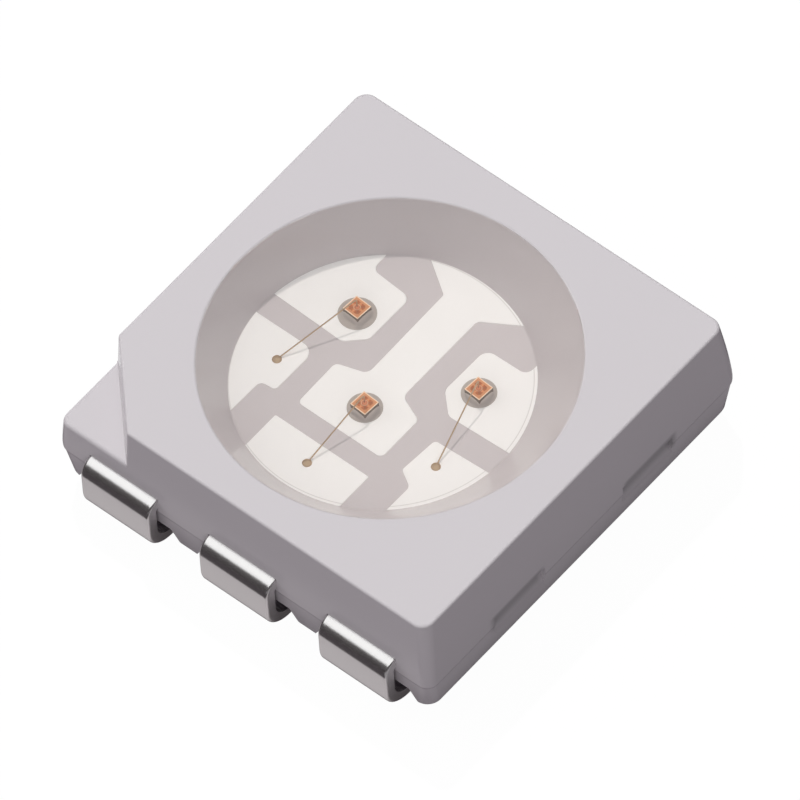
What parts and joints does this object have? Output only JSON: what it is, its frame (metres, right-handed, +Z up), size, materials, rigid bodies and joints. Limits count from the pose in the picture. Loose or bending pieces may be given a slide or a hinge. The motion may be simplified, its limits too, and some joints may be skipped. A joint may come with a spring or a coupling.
{
  "type": "smd led",
  "caption": "Surface-mount LED: a square white housing with a round reflector cup full of clear resin, bonded chips inside and J-shaped solder leads on two sides.",
  "frame": {"origin": "under the middle of the housing, on the plane of the solder feet", "axes": "+Z up out of the light-emitting face, +Y towards the back row of leads, +X along the rows; the cut polarity corner is at -X, -Y"},
  "size_m": [0.005, 0.0054, 0.0016],
  "materials": {
    "housing_plastic": "moulded white high-temperature plastic, satin",
    "plated_lead": "silver-plated copper sheet, satin",
    "led_chip": "diced and polished semiconductor",
    "chip_glue": "cured conductive glue, smooth",
    "contact_film": "evaporated gold film",
    "bond_wire": "drawn gold wire",
    "clear_resin": "clear cured resin with a smooth cast surface"
  },
  "bodies": {
    "root": {"housing": "housing_plastic", "lead_front_left": "plated_lead", "lead_front_middle": "plated_lead", "lead_front_right": "plated_lead", "lead_back_left": "plated_lead", "lead_back_middle": "plated_lead", "lead_back_right": "plated_lead", "chip_left": "led_chip", "chip_middle": "led_chip", "chip_right": "led_chip", "chip_glue_left": "chip_glue", "chip_glue_middle": "chip_glue", "chip_glue_right": "chip_glue", "chip_contact_left": "contact_film", "chip_contact_middle": "contact_film", "chip_contact_right": "contact_film", "bond_wire_left": "bond_wire", "bond_wire_middle": "bond_wire", "bond_wire_right": "bond_wire", "resin_fill": "clear_resin"}
  },
  "joints": []
}
